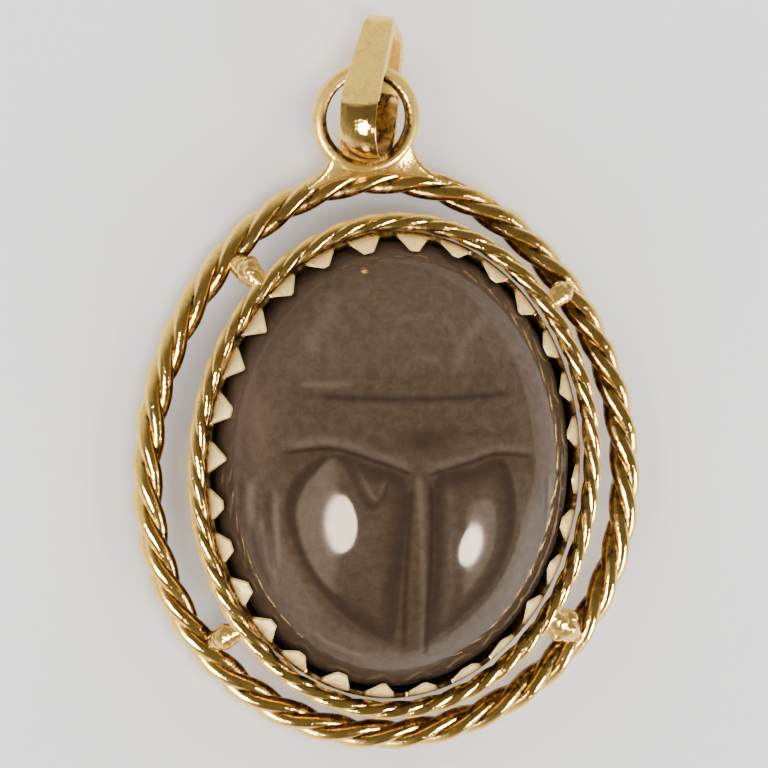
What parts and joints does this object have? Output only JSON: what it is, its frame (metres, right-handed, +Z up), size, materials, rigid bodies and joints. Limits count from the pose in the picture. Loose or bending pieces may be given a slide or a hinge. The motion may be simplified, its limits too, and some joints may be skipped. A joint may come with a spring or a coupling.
{
  "type": "scarab pendant",
  "caption": "Carved smoky stone scarab in a gold sawtooth bezel with twisted-wire frames, a soldered ring and a loose strip bail that hangs it on a chain.",
  "frame": {"origin": "middle of the back plate's underside, which the pendant lies on", "axes": "+Z up out of the scarab's back, +Y towards the ring and bail, +X to the right as the scarab is seen"},
  "size_m": [0.0221, 0.0314, 0.0066],
  "materials": {
    "smoky_stone": "polished, slightly translucent",
    "gold": "polished yellow gold"
  },
  "bodies": {
    "root": {"scarab_stone": "smoky_stone", "bezel_cup": "gold", "inner_rope": "gold", "outer_rope": "gold", "solder_ball_upper_left": "gold", "solder_ball_upper_right": "gold", "solder_ball_lower_left": "gold", "solder_ball_lower_right": "gold", "hanging_ring": "gold", "bail": "gold"}
  },
  "joints": []
}
